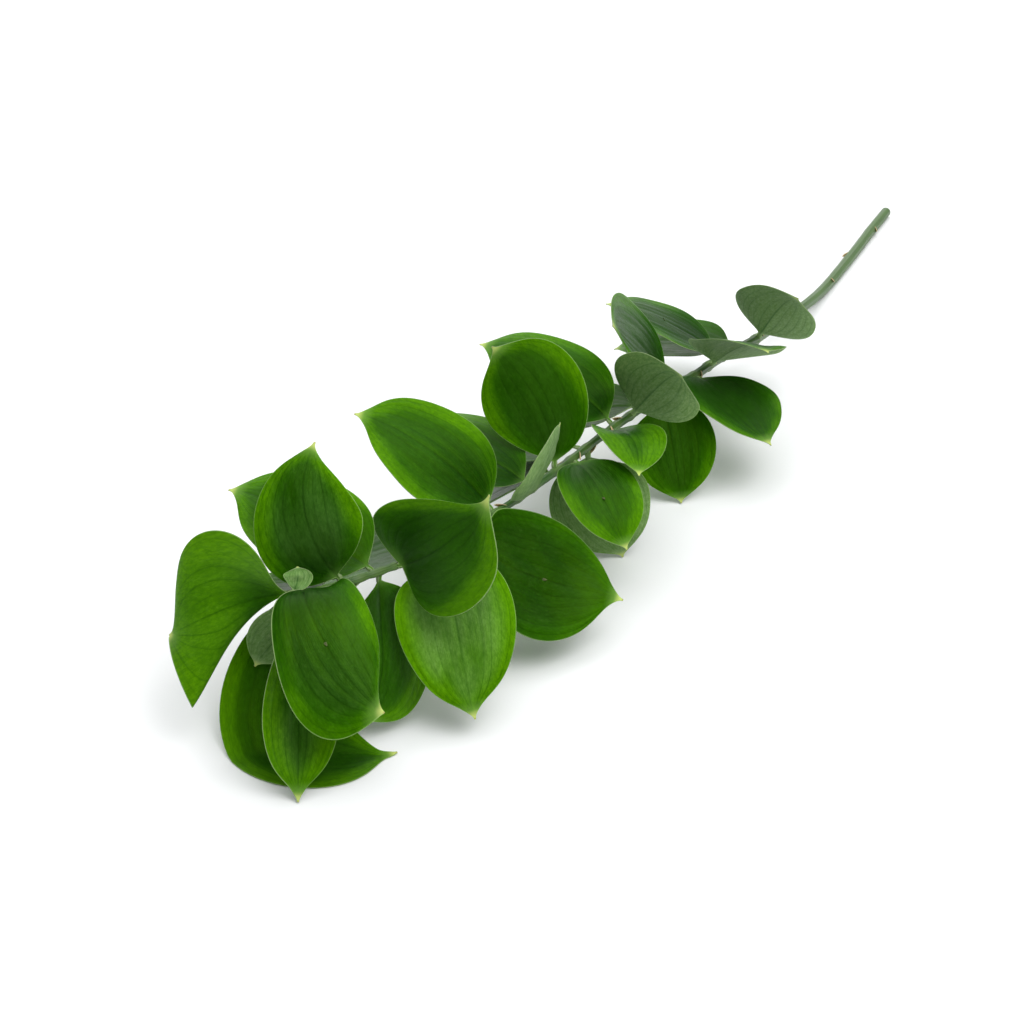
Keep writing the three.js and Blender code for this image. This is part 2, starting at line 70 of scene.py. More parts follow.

# %% The blades, in millimetres and degrees
# at: where it leaves the stem, as x; way: the two handles and the end of the midrib;
# face: the way its upper side looks, round the upright axis and upwards; wide: its full width;
# low: under 1 it is widest nearer the foot; lean: how quickly it narrows from there; heart: how
# far the left and the right lobe of the foot reach back; curl: roll of the left half at foot and
# point, then of the right half if it differs; twist: turn about the midrib at foot and point;
# sweep: how far the left and the right edge are drawn towards the point; wave: the ripple's
# height, number and phase; flick: how far the point is drawn aside; tone: 0 for old and deep
# green, 1 for young and bright; bloom: pale dust, which also stands in for a painted sheen;
# scale: whether a papery scale sits on it.
USUAL_BLADE = dict(wide=45, low=0.8, lean=0.6, heart=(0, 0), curl=(20, -10), twist=(0, 0),
                   sweep=(0, 0), wave=(0, 1, 0), flick=(0, 0, 0), tone=0.35, dust_and_sheen=0.02, scale=False)
BLADES = dict(
    leaf_01=dict(at=580.3, way=((582, -15, 60), (607, -21, 62), (604, -41, 45)), face=(26, 12), wide=61,
        low=1.1, lean=1.1, heart=(-8, -26), curl=(-60, 40, 60, -30), twist=(28, -14), sweep=(23, -12),
        wave=(0.5, 1, 0), tone=0.85),
    leaf_02=dict(at=577.5, way=((593, 9, 82), (602, 27, 50), (596, 48, 36)), face=(30, 50), wide=43,
        low=1.15, lean=0.5, heart=(10, -12), curl=(-50, -20, 0, -15), sweep=(-10, 16),
        wave=(0.7, 1.2, 40), tone=0.32, dust_and_sheen=0.05, scale=True),
    leaf_03=dict(at=575, way=((591, 8, 44), (607, 17, 20), (617, 23, 0.6)), face=(60, 30), wide=29,
        low=1.2, curl=(25, 10), wave=(0.6, 1, 90), tone=0.6, dust_and_sheen=0.1),
    leaf_04=dict(at=572.5, way=((571, -3, 44), (575, -14, 39), (581, -20, 25)), face=(-150, 10),
        wide=25, low=1.1, curl=(-15, -10), tone=0.3),
    leaf_05=dict(at=569.5, way=((561, -15, 53), (574, -36, 50), (582, -48, 40)), face=(-100, 60),
        wide=30, curl=(20, 10), tone=0.45),
    leaf_06=dict(at=555, way=((557, -26, 12), (618, -2, -7), (573, 38, 1)), face=(60, 75), wide=52,
        low=1.1, curl=(10, 0), tone=0.5),
    leaf_07=dict(at=563.5, way=((571, 0, 76), (563, -12, 96), (549, -10, 109)), face=(20, 30), wide=40,
        low=0.84, lean=0.7, curl=(20, -12), sweep=(-6, -2), wave=(0.7, 1.5, 20), tone=0.48, dust_and_sheen=0.08),
    leaf_08=dict(at=546, way=((548, 14, 38), (556, 26, 16), (575, 24, 11)), face=(75, 35), low=1.0,
        curl=(0, 0, 0, -10), sweep=(0, 15), tone=0.55),
    leaf_09=dict(at=548.4, way=((551, -11, 72), (552, -32, 84), (556, -46, 82)), face=(60, 60),
        wave=(0.8, 1.3, 70), tone=0.5, scale=True),
    leaf_10=dict(at=539, way=((541, 34, 67), (541, 46, 80), (539, 58, 95)), face=(-14, 22), wide=51,
        low=0.7, lean=0.7, heart=(30, 2), curl=(10, -10), sweep=(-11, 9), wave=(0.6, 1, 30),
        flick=(-2.4, -0.7, 4.4), tone=0.55),
    leaf_11=dict(at=520, way=((526, 37, 48), (548, 50.5, 28), (551, 59, 10)), face=(39, 40), low=0.72,
        wave=(0.8, 1.4, 0), tone=0.8, dust_and_sheen=0.35),
    leaf_12=dict(at=505, way=((510, 2, 50), (522, -22, 42), (524, -36, 26)), face=(-70, 60), wide=47,
        curl=(25, -5), wave=(0.9, 1.2, 120)),
    leaf_13=dict(at=492, way=((499, 38, 36), (469, 57, 26), (464, 76, 21)), face=(39, 50), wide=50,
        low=0.9, lean=0.75, heart=(34, 0), curl=(25, -10), wave=(0.7, 1.2, 60), tone=0.15, scale=True),
    leaf_14=dict(at=461, way=((463, 38, 60), (462, 44, 80), (452, 40, 86)), face=(-83, 45), wide=34,
        curl=(50, 10), tone=0.45),
    leaf_15=dict(at=450, way=((454, 4, 66), (460, -22, 72), (463, -38, 64)), face=(-60, 75), wide=46,
        wave=(0.9, 1.3, 10), tone=0.5),
    leaf_16=dict(at=430, way=((434, 4, 40), (440, -20, 20), (442, -30, 0.6)), face=(-80, 40),
        curl=(25, 5), wave=(0.8, 1.1, 80), tone=0.3),
    leaf_17=dict(at=419, way=((427, 42, 52), (440, 59, 42), (442, 66, 30)), face=(60, 60), wide=34,
        curl=(20, 0), wave=(0.6, 1, 0), tone=0.45, scale=True),
    leaf_18=dict(at=405, way=((412, 34, 30), (408, 42, 18), (404, 45, 0.6)), face=(-141, 0), wide=42,
        curl=(20, 0), wave=(0.8, 1.5, 50)),
    leaf_19=dict(at=389, way=((392, 38, 57), (406, 52, 62), (417, 58, 50)), face=(60, 60), wide=30,
        curl=(30, 0), tone=0.65),
    leaf_20=dict(at=378, way=((379, 6, 63), (383, -20, 76), (386, -36, 74)), face=(70, 65), wide=46,
        wave=(0.9, 1.2, 0), tone=0.4),
    leaf_21=dict(at=350, way=((356, 4, 40), (368, -18, 36), (374, -30, 26)), face=(-70, 60),
        curl=(25, -5), wave=(0.8, 1.3, 30), tone=0.3),
    leaf_22=dict(at=322, way=((330, 16, 62), (350, 12, 82), (362, 16, 85)), face=(30, 60), curl=(20, 0),
        wave=(0.8, 1.2, 90), tone=0.4),
    leaf_23=dict(at=300, way=((308, 42, 40), (322, 62, 38), (328, 78, 28)), face=(80, 60), wide=46,
        curl=(25, -5), wave=(0.9, 1.3, 60), tone=0.3),
    leaf_24=dict(at=262, way=((268, 6, 42), (282, -12, 56), (288, -26, 56)), face=(-60, 65), wide=44,
        wave=(0.8, 1.2, 20), scale=True),
    leaf_25=dict(at=222, way=((230, 32, 38), (242, 44, 58), (250, 54, 62)), face=(160, 50), wide=40,
        curl=(20, -5), wave=(0.8, 1.1, 50), tone=0.25),
    leaf_26=dict(at=242, way=((246, 2, 26), (256, -18, 28), (263, -34, 20)), face=(-70, 60), wide=42,
        curl=(25, -5), wave=(0.8, 1.2, 40)),
    leaf_27=dict(at=281, way=((287, 40, 50), (300, 54, 64), (309, 66, 62)), face=(70, 60), wide=42,
        curl=(20, -8), wave=(0.9, 1.3, 15), tone=0.4),
    leaf_28=dict(at=336, way=((338, 34, 30), (346, 42, 12), (350, 46, 0.6)), face=(39, 20), wide=38,
        curl=(15, -5), wave=(0.8, 1.1, 75), tone=0.3),
    leaf_29=dict(at=364, way=((368, 40, 64), (376, 52, 80), (384, 60, 82)), face=(70, 50), wide=40,
        wave=(0.8, 1.2, 100), tone=0.5),
    leaf_30=dict(at=406, way=((412, 6, 51), (421, -18, 46), (426, -33, 34)), face=(-70, 60), wide=42,
        curl=(25, -5), wave=(0.9, 1.2, 60)),
    leaf_31=dict(at=431.5, way=((427, 23, 75), (432, 9, 95), (442, 3, 106)), face=(30, 30), wide=42,
        low=1.05, curl=(20, -12), wave=(0.8, 1.3, 35), tone=0.45),
    leaf_32=dict(at=478, way=((482, 8, 74), (489, -14, 90), (496, -28, 92)), face=(60, 60), wide=44,
        wave=(0.9, 1.2, 5), tone=0.5),
    young_leaf=dict(at=580.5, way=((577, -0.6, 66.5), (575.5, -1.5, 68.5), (574.5, -2.5, 71)),
        face=(39, 30), wide=9, low=1.1, curl=(40, 20), tone=0.7))
print("blades:", len(BLADES))

# %% The stem's axis as points, and the shift into the frame
WAY_SAMPLES = 2400
CUT_DEPTH = 3  # from the cut end, within which only the cut face has points


def unit(v):
    return v / np.linalg.norm(v, axis=-1, keepdims=True)


def smooth_way(points):
    """A Catmull-Rom curve through the points."""
    ends = [2 * points[0] - points[1], 2 * points[-1] - points[-2]]
    p = np.vstack([ends[0], points, ends[1]])
    t = np.linspace(0, len(points) - 1, WAY_SAMPLES + 1)
    i = np.minimum(t.astype(int), len(points) - 2)
    f = (t - i)[:, None]
    a, b, c, d = p[i], p[i + 1], p[i + 2], p[i + 3]
    return 0.5 * (2 * b + (c - a) * f + (2 * a - 5 * b + 4 * c - d) * f ** 2
                  + (3 * b - a - 3 * c + d) * f ** 3)


def length_along(points):
    """How far along a line each of its points lies."""
    return np.concatenate([[0], np.cumsum(np.linalg.norm(np.diff(points, axis=0), axis=1))])


def points_of(mesh):
    flat = np.zeros(len(mesh.vertices) * 3)
    mesh.vertices.foreach_get("co", flat)
    return flat.reshape(-1, 3)


way = smooth_way(STEM_WAY)
way[:, 2] = np.maximum(way[:, 2], REST_HEIGHT)
way_length = length_along(way)
STEM_LENGTH = way_length[-1]

stem_points = points_of(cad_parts["stem"].data)
at_cut = stem_points[:, 0] < stem_points[:, 0].min() + CUT_DEPTH * MM
cut_ring = np.unique(stem_points[at_cut].round(6), axis=0)
SHIFT = cut_ring.mean(axis=0) - np.array([0, 0, REST_HEIGHT]) * MM
print("stem length mm:", round(STEM_LENGTH, 1), "shift:", SHIFT.round(5), "ring points:", len(cut_ring))

# %% Places, directions and radii along the stem
DIRECTION_REACH = 2  # each way along the stem


def along_at(x):
    """How far along the stem it has a given x."""
    return np.interp(x, way[:, 0], way_length)


def axis_point(along):
    along = np.atleast_1d(np.clip(along, 0, STEM_LENGTH))
    return np.stack([np.interp(along, way_length, way[:, k]) for k in range(3)], axis=-1)


def axis_tangent(along):
    along = np.atleast_1d(along)
    return unit(axis_point(along + DIRECTION_REACH) - axis_point(along - DIRECTION_REACH))


LEAF_PLACES = {name: float(along_at(blade["at"])) for name, blade in BLADES.items()}


def near_leaves(along, reach):
    """1 where a leaf grows on the stem, and fading away from it."""
    places = np.array(list(LEAF_PLACES.values()))
    return np.exp(-((np.atleast_1d(along)[:, None] - places) / reach) ** 2).max(axis=1)


def stem_radius(along):
    lying = along_at(LYING_LENGTH)
    taper = np.clip((along - lying) / (STEM_LENGTH - lying), 0, 1)
    swelling = NODE_SWELLING * near_leaves(along, NODE_REACH)
    return FOOT_RADIUS + (TIP_RADIUS - FOOT_RADIUS) * taper + swelling


print("leaves along the stem mm:", [round(place) for place in LEAF_PLACES.values()])

# %% [markdown]
# ## Shader arithmetic
# A leaf's colour follows its veins, its margin and its point, which is a lot of small arithmetic.
# Wiring Math nodes by hand hides the sum that they make. This class wraps a socket, so that the
# sum is written as an ordinary expression and the nodes are added behind it.

# %% A socket that can be added, multiplied and faded
class Wire:
    def __init__(self, tree, socket):
        self.tree, self.socket = tree, socket

    def node(self, kind, settings, inputs, out=0):
        """Any node: its settings are set first, then the values or links of its sockets."""
        made = self.tree.nodes.new(kind)
        for key, value in settings.items():
            setattr(made, key, value)
        for key, value in inputs.items():
            if isinstance(value, Wire):
                self.tree.links.new(value.socket, made.inputs[key])
            else:
                made.inputs[key].default_value = value
        return Wire(self.tree, made.outputs[out]) if made.outputs else None

    def math(self, operation, *values):
        inputs = dict(enumerate((self,) + values))
        return self.node("ShaderNodeMath", {"operation": operation}, inputs)

    def __add__(self, other):
        return self.math("ADD", other)

    def __mul__(self, other):
        return self.math("MULTIPLY", other)

    def __sub__(self, other):
        return self.math("SUBTRACT", other)

    def __rsub__(self, other):
        return self.node("ShaderNodeMath", {"operation": "SUBTRACT"}, {0: other, 1: self})

    def __truediv__(self, other):
        return self.math("DIVIDE", other)

    def __abs__(self):
        return self.math("ABSOLUTE")

    __radd__, __rmul__ = __add__, __mul__

    def fade(self, low, high, at_low=0.0, at_high=1.0):
        """A soft step of this value, from low to high."""
        settings = {"interpolation_type": "SMOOTHSTEP"}
        inputs = {0: self, 1: low, 2: high, 3: at_low, 4: at_high}
        return self.node("ShaderNodeMapRange", settings, inputs)

    def between(self, first, second, **settings):
        """A mix of two colours, with this value as the second one's share."""
        inputs = {0: self, 6: first, 7: second}
        return self.node("ShaderNodeMix", {"data_type": "RGBA", **settings}, inputs, out=2)

    def tint(self, colour, share):
        """This colour, mixed with another one by a share."""
        return share.between(self, colour)

    def shade(self, colour, share):
        """This colour, multiplied by another one by a share."""
        return share.between(self, colour, blend_type="MULTIPLY")


# %% What every material is opened and closed with
def open_material(name):
    material = bpy.data.materials.new(name)
    material.use_nodes = True
    tree = material.node_tree
    tree.nodes.clear()
    return material, Wire(tree, None)


def read(start, attribute):
    """A number stored on the piece's points."""
    return start.node("ShaderNodeAttribute", {"attribute_name": attribute}, {}, out="Fac")


def spot(start, x, y, z):
    """A place made of three numbers."""
    return start.node("ShaderNodeCombineXYZ", {}, {0: x, 1: y, 2: z})


def noise(start, place, scale, detail, rough=0.5):
    """Cloudy noise; most of it lies between 0.3 and 0.7."""
    inputs = {"Vector": place, "Scale": scale, "Detail": detail, "Roughness": rough}
    return start.node("ShaderNodeTexNoise", {}, inputs)


def bumped(start, height, strength, distance=0.0001):
    inputs = {"Strength": strength, "Distance": distance, "Height": height}
    return start.node("ShaderNodeBump", {}, inputs)


def close_material(start, look, through=0.0, glow=None):
    """The surface, and the share of light that comes through it, led to the output."""
    surface = start.node("ShaderNodeBsdfPrincipled", {}, look)
    if through:
        lit = start.node("ShaderNodeBsdfTranslucent", {}, {"Color": glow, "Normal": look["Normal"]})
        surface = start.node("ShaderNodeMixShader", {}, {0: through, 1: surface, 2: lit})
    start.node("ShaderNodeOutputMaterial", {}, {"Surface": surface})


# %% [markdown]
# ## The blade's finish
# On a living blade the upper side is a deep, satin green with darker veins that arch from foot to
# point, faint finer veins between them, and a soft mottle. The foot, the margin and above all the
# last few millimetres turn pale and yellow, and the very point is dry and tan. On top of that, each
# blade is painted lighter towards its margin and darker in its middle and towards its foot, as
# painted light and shade, and some carry pale dust that also stands in for a painted sheen. The
# underside is greyer and duller. Light passes through a blade and comes out yellow green, so each
# finish mixes a satin surface with a share of translucency. The veins aren't painted: each point of
# a blade carries its place across the vein lines, and the shader draws a line of constant width there.

# %% Noise on a blade
MOTTLE_ACROSS, MOTTLE_ALONG, MOTTLE_ROUGH = 0.04, 0.02, 0.55  # twice as long as wide


def ribbons(start, across, along, detail):
    """Noise that is drawn out from foot to point, in step with the veins."""
    place = spot(start, across, read(start, "run") * along, read(start, "grain"))
    return noise(start, place, 1.0, detail)


def mottle(start, scale, detail, seed):
    """Soft noise on the blade's own surface."""
    across = read(start, "span") * read(start, "half_mm") * MOTTLE_ACROSS
    along = read(start, "run") * read(start, "long_mm") * MOTTLE_ALONG
    place = spot(start, across, along, read(start, "grain") + seed)
    return noise(start, place, scale, detail, MOTTLE_ROUGH)


# %% The lines of the veins
VEINS_A_SIDE = 6
FINE_PER_VEIN = 3
# Each line, as millimetres from its middle: full up to the first, gone from the second.
MAIN_LINE, VALLEY, FINE_LINE, MIDRIB_LINE = (0.05, 0.36), (0.0, 1.3), (0.02, 0.22), (0.10, 0.60)
# As shares of the way from foot to point.
VEINS_START, VEINS_END, MIDRIB_THINS = (0.02, 0.10), (0.90, 0.97), (0.45, 0.90)
MIDRIB_LEFT = 0.2  # of its strength, at the point
FAINTEST_VEIN = 0.35


def vein_lines(start):
    """Masks of the main veins, their valleys, the fine veins and the midrib."""
    lines, half, run = read(start, "vein"), read(start, "half_mm"), read(start, "run")
    spacing = half / VEINS_A_SIDE
    number = lines.math("ROUND")
    main = abs(lines - number) * spacing
    fine_lines = lines * FINE_PER_VEIN + read(start, "waver")
    fine = abs(fine_lines - fine_lines.math("ROUND")) * spacing / FINE_PER_VEIN
    midrib = abs(read(start, "span")) * half
    inside = run.fade(*VEINS_START) * run.fade(*VEINS_END, 1.0, 0.0)
    strong = ribbons(start, number * 2.3, 1.5, 2.0).fade(0.35, 0.65, FAINTEST_VEIN, 1.0)
    return {
        "main": main.fade(*MAIN_LINE, 1.0, 0.0) * inside * strong,
        "valley": main.fade(*VALLEY, 1.0, 0.0) * inside * strong,
        "fine": fine.fade(*FINE_LINE, 1.0, 0.0) * inside,
        "midrib": midrib.fade(*MIDRIB_LINE, 1.0, 0.0) * run.fade(*MIDRIB_THINS, 1.0, MIDRIB_LEFT),
    }


# %% All the marks on a blade, and its age with painted light and shade
# Kinds of mottle, from coarse to fine: scale, detail and seed.
MOTTLES = {"clouds": (1.6, 2.0, 0.0), "dents": (9.0, 2.0, 3.0), "leather": (20.0, 3.0, 11.0),
           "specks": (26.0, 2.0, 7.0), "grain": (55.0, 2.0, 15.0)}
CLOUD_SHARE, STREAK_SHARE = 0.6, 0.14  # how much they change the age
# Soft steps from here on: from, to, and the value at each. These are in millimetres from the edge
# and in shares of the way from foot to point.
# Painted light and shade: lighter towards the margin and darker in the middle, and darker towards the
# foot.
EDGE_LIGHT_MIDDLE_SHADE, PAINTED_FOOT_SHADE = (0.0, 13.0, 0.36, -0.12), (0.0, 0.6, -0.35, 0.08)


def blade_marks(start):
    marks = vein_lines(start)
    for name, kind in MOTTLES.items():
        marks[name] = mottle(start, *kind)
    marks["streaks"] = ribbons(start, read(start, "vein") * 1.1, 2.2, 4.0)
    return marks


def blade_age_and_light(start, marks):
    """0 for old and deep green, 1 for young and bright, by blade and from place to place, with painted
    light towards the margin and painted shade in the middle and towards the foot.
    """
    age_and_light = (read(start, "tone") + (marks["clouds"] - 0.5) * CLOUD_SHARE
           + (marks["streaks"] - 0.5) * STREAK_SHARE)
    # Painted light towards the margin, painted shade in the middle and towards the foot.
    age_and_light = age_and_light + read(start, "edge_mm").fade(*EDGE_LIGHT_MIDDLE_SHADE) + read(start, "run").fade(*PAINTED_FOOT_SHADE)
    return age_and_light.fade(0.0, 1.0)


def weighed(marks, shares, base=0):
    """A base and some of the marks, each times its share, added up."""
    return sum((marks[name] * share for name, share in shares.items()), base)


# %% The blade's colour
VEIN_SHADE, GRAIN_SHADE = (0.35, 0.50, 0.45, 1), (0.55, 0.66, 0.50, 1)
BROAD_VEINS, THIN_VEINS = {"valley": 0.18, "main": 0.52}, {"fine": 0.20, "midrib": 0.60}
# Pale dust that also stands in for a painted sheen, in cloudy patches away from the edge.
DUST_AND_SHEEN, DUST_AND_SHEEN_CLOUDS, DUST_AND_SHEEN_FROM_EDGE = (0.34, 0.46, 0.22, 1), (0.20, 0.75), (2.0, 11.0)
FRESH_ABOVE, FRESH_SHARE, SPECK_SHARE = 0.55, 0.9, 0.05
LEATHER_DARK, GRAIN_DARK = (0.38, 0.62, 0.62, 0.0), (0.38, 0.62, 0.50, 0.0)
PALE_FOOT = (0.0, 0.10, 0.4, 0.0)
# The point's zones, in millimetres from it. On a blade shorter than this length they shrink with it.
FULL_ZONES_FROM = 60.0
PALE_ZONE = (2.0, 8.0, 0.45, 0.0)
YELLOW_POINT, YELLOW_ZONE = (0.60, 0.68, 0.20, 1), (0.8, 4.2, 0.95, 0.0)
DRY_POINT, DRY_ZONE = (0.50, 0.32, 0.12, 1), (0.1, 0.9, 0.6, 0.0)
PALE_MARGIN, MARGIN_LINE, MARGIN_SHARE = (0.36, 0.56, 0.18, 1), (0.08, 0.34, 1.0, 0.0), 0.55


def blade_colour(start, marks, deep, mid, fresh, pale):
    run, edge = read(start, "run"), read(start, "edge_mm")
    age_and_light = blade_age_and_light(start, marks)
    colour = age_and_light.between(deep, mid)
    colour = colour.tint(fresh, (age_and_light - FRESH_ABOVE).fade(0.0, 0.6) * FRESH_SHARE)
    colour = colour.tint(pale, marks["specks"].fade(0.5, 0.8) * SPECK_SHARE)
    # Pale dust, partly a painted sheen, in patches, by each blade's own share.
    dust_and_sheen_patches = marks["clouds"].fade(*DUST_AND_SHEEN_CLOUDS) * edge.fade(*DUST_AND_SHEEN_FROM_EDGE)
    colour = colour.tint(DUST_AND_SHEEN, dust_and_sheen_patches * read(start, "dust_and_sheen"))
    colour = colour.shade(VEIN_SHADE, weighed(marks, BROAD_VEINS))
    colour = colour.shade(VEIN_SHADE, weighed(marks, THIN_VEINS))
    colour = colour.shade(GRAIN_SHADE, marks["leather"].fade(*LEATHER_DARK))
    colour = colour.shade(GRAIN_SHADE, marks["grain"].fade(*GRAIN_DARK))
    to_tip = (1 - run) * read(start, "long_mm").math("MAXIMUM", FULL_ZONES_FROM)
    colour = colour.tint(pale, to_tip.fade(*PALE_ZONE) + run.fade(*PALE_FOOT))
    colour = colour.tint(YELLOW_POINT, to_tip.fade(*YELLOW_ZONE))
    colour = colour.tint(DRY_POINT, to_tip.fade(*DRY_ZONE))
    return colour.tint(PALE_MARGIN, edge.fade(*MARGIN_LINE) * MARGIN_SHARE)


# %% The finish of both sides
RELIEF = {"valley": -0.35, "fine": -0.20, "specks": 0.45, "leather": 0.8, "grain": 0.5, "dents": 0.9}
RELIEF_STRENGTH = 0.8
SMOOTHER, DULLER = 0.05, 0.06  # how far the roughness goes below and above its middle
SHEEN = (0.28, 0.74, 0.005, 1)  # tint of the gloss
GLOW, THROUGH = (0.24, 0.55, 0.004, 1), 0.14  # colour and share of the light that comes through


def finish_blade(name, deep, mid, fresh, pale, rough, shine):
    material, start = open_material(name)
    marks = blade_marks(start)
    close_material(start, {
        "Base Color": blade_colour(start, marks, deep, mid, fresh, pale),
        "Roughness": marks["specks"].fade(0.25, 0.75, rough - SMOOTHER, rough + DULLER),
        "Normal": bumped(start, weighed(marks, RELIEF, 1), RELIEF_STRENGTH),
        "Specular IOR Level": shine, "Specular Tint": SHEEN}, THROUGH, GLOW)
    return material


UPPER = finish_blade("blade_upper", deep=(0.005, 0.042, 0.0002, 1), mid=(0.032, 0.145, 0.0004, 1),
                     fresh=(0.115, 0.310, 0.001, 1), pale=(0.24, 0.42, 0.10, 1),
                     rough=0.40, shine=0.50)
UNDER = finish_blade("blade_under", deep=(0.180, 0.285, 0.105, 1), mid=(0.230, 0.360, 0.135, 1),
                     fresh=(0.290, 0.440, 0.155, 1), pale=(0.38, 0.50, 0.24, 1),
                     rough=0.55, shine=0.45)
print("blade finishes:", UPPER.name, UNDER.name, len(UPPER.node_tree.nodes), "nodes each")

# %% [markdown]
# ## The margin and the cut end
# A blade ends in a hard pale line, like a hem, and the cut end of the stem shows its pale fibres.
# The margin could be painted by the blade's own finish, but Solidify sets the rim's faces apart
# anyway, so they get a material of their own. Both places are too small for a pattern that anyone
# could follow, so one function gives each of them two close colours in fine grain.

# %% A plain finish in two close colours
PLAIN_SHINE = 0.4


def finish_plain(name, first, second, rough, scale, through=0.0):
    material, start = open_material(name)
    place = start.node("ShaderNodeTexCoord", {}, {}, out="Object")
    grain = noise(start, place, scale, 4.0)
    mix = grain.fade(0.35, 0.65)
    close_material(start, {
        "Base Color": mix.between(first, second), "Normal": bumped(start, grain, 0.5),
        "Roughness": mix.fade(0, 1, rough - 0.08, rough + 0.08),
        "Specular IOR Level": PLAIN_SHINE}, through, second)
    return material


RIM = finish_plain("blade_margin", (0.25, 0.38, 0.14, 1), (0.36, 0.48, 0.22, 1), 0.45, 900.0, 0.3)
CUT = finish_plain("cut_face", (0.62, 0.66, 0.38, 1), (0.78, 0.76, 0.52, 1), 0.8, 2500.0)
print("plain finishes:", RIM.name, CUT.name)

# %% [markdown]
# ## The papery scales' finish
# A scale is thin and dry: darker at its root, pale at its edge, with streaks along it. A pattern on
# Object coordinates would lie the same way on every scale, however it is turned. So each scale
# carries its own run and span on its points, and the streaks follow those. A scale in mid-face is
# fresher than one on the stem, so it gets greener colours.

# %% The paper of both kinds of scale
PAPER_THROUGH = 0.25


def finish_paper(name, root_colour, edge_colour):
    material, start = open_material(name)
    run, span = read(start, "paper_run"), read(start, "paper_span")
    streaks = noise(start, spot(start, span * 5.0, run * 1.2, 0.0), 2.5, 3.0)
    pale = (run * 0.7 + abs(span) * 0.5 + (streaks - 0.5) * 0.8).fade(0.1, 0.9)
    close_material(start, {
        "Base Color": pale.between(root_colour, edge_colour),
        "Roughness": streaks.fade(0.3, 0.7, 0.66, 0.82),
        "Normal": bumped(start, streaks, 0.6)}, PAPER_THROUGH, edge_colour)
    return material


PAPER = finish_paper("papery_scale", (0.24, 0.14, 0.055, 1), (0.74, 0.60, 0.34, 1))
FACE_PAPER = finish_paper("face_scale", (0.04, 0.07, 0.012, 1), (0.12, 0.15, 0.04, 1))
print("paper finishes:", PAPER.name, FACE_PAPER.name)

# %% [markdown]
# ## The stem's skin
# The stem is green and ridged, greyer where it is old, paler round the nodes, with a few tan specks.
# Its streaks run along it. They are noise that is read on a circle, by the sine and cosine of the
# way round, so that they meet where the rolled sheet closes.

# %% The finish of the stem
RIDGES = 9
DEEP_SKIN, FRESH_SKIN = (0.016, 0.062, 0.007, 1), (0.050, 0.130, 0.020, 1)
OLD_SKIN, NODE_SKIN = (0.150, 0.225, 0.105, 1), (0.15, 0.24, 0.06, 1)
TAN_SPECK = (0.26, 0.17, 0.08, 1)
STREAK_LENGTH, STREAK_WIDTH = 18.0, 1.6  # the higher, the finer along the stem and round it
OLD_STRETCH = (0.10, 0.65, 1.0, 0.0)  # as shares of the stem's length


def finish_stem():
    material, start = open_material("stem_skin")
    along, ring = read(start, "along"), read(start, "round") * (2 * math.pi)
    place = spot(start, along * STREAK_LENGTH, ring.math("COSINE") * STREAK_WIDTH,
                 ring.math("SINE") * STREAK_WIDTH)
    streaks, fine = noise(start, place, 1.6, 5.0), noise(start, place, 9.0, 3.0)
    ridges, old = (ring * RIDGES).math("COSINE"), along.fade(*OLD_STRETCH)
    colour = streaks.fade(0.3, 0.7).between(DEEP_SKIN, FRESH_SKIN)
    colour = colour.tint(OLD_SKIN, old * 0.55 + fine.fade(0.5, 0.8) * 0.10)
    colour = colour.tint(NODE_SKIN, read(start, "near_node") * 0.4)
    colour = colour.tint(TAN_SPECK, fine.fade(0.66, 0.74) * (old * 0.5 + 0.1))
    relief = ridges * 0.3 + streaks * 0.8 + fine * 0.4
    close_material(start, {
        "Base Color": colour, "Roughness": streaks.fade(0.3, 0.7, 0.38, 0.54),
        "Normal": bumped(start, relief, 0.5, 0.00015), "Specular IOR Level": PLAIN_SHINE})
    return material


STEM_SKIN = finish_stem()
print("stem finish:", STEM_SKIN.name, len(STEM_SKIN.node_tree.nodes), "nodes")

# %% [markdown]
# ## Working on pieces
# Every piece here begins as a flat grid, because a blade, a scale and even the stem's skin are
# sheets. Operators act on all that is selected, so each helper that calls one clears the selection
# first.

# %% Helpers for pieces
def clear_selection():
    bpy.ops.object.select_all(action="DESELECT")


def add_grid(name, columns, rows):
    """A flat grid, and how far across and along it each of its points lies, from 0 to 1."""
    clear_selection()
    bpy.ops.mesh.primitive_grid_add(x_subdivisions=columns, y_subdivisions=rows, size=2)
    piece = bpy.context.active_object
    piece.name = piece.data.name = name
    across, along, _ = (points_of(piece.data).T + 1) / 2
    return piece, across, along


def set_points(piece, places):
    """Moves the piece's points to places in millimetres."""
    piece.data.vertices.foreach_set("co", (places * MM).ravel())


def store_numbers(mesh, numbers):
    for name, values in numbers.items():
        layer = mesh.attributes.new(name, "FLOAT", "POINT")
        layer.data.foreach_set("value", values.astype(np.float32))


def apply_modifier(piece, kind, **settings):
    clear_selection()
    bpy.context.view_layer.objects.active = piece
    piece.select_set(True)
    modifier = piece.modifiers.new(kind.lower(), kind)
    for key, value in settings.items():
        setattr(modifier, key, value)
    bpy.ops.object.modifier_apply(modifier=modifier.name)


def copy_of(source, name):
    """A copy with a mesh of its own."""
    piece = source.copy()
    piece.data = source.data.copy()
    piece.name = piece.data.name = name
    bpy.context.scene.collection.objects.link(piece)
    return piece


def join_into(main, others):
    """Makes the others part of the main piece."""
    clear_selection()
    for piece in others + [main]:
        piece.select_set(True)
    bpy.context.view_layer.objects.active = main
    bpy.ops.object.join()


# %% [markdown]
# ## The papery scale
# The true leaves of this plant are small papery scales. One sits under each blade, a few sit on the
# bare lower stem, and some blades carry one in mid-face, where the flowers grow. A scale is a thin
# shield that rises from its root to a point and hugs what it grows on. It is modelled once, lying
# along X at the origin and life-sized, and each place gets a copy with a mesh of its own.

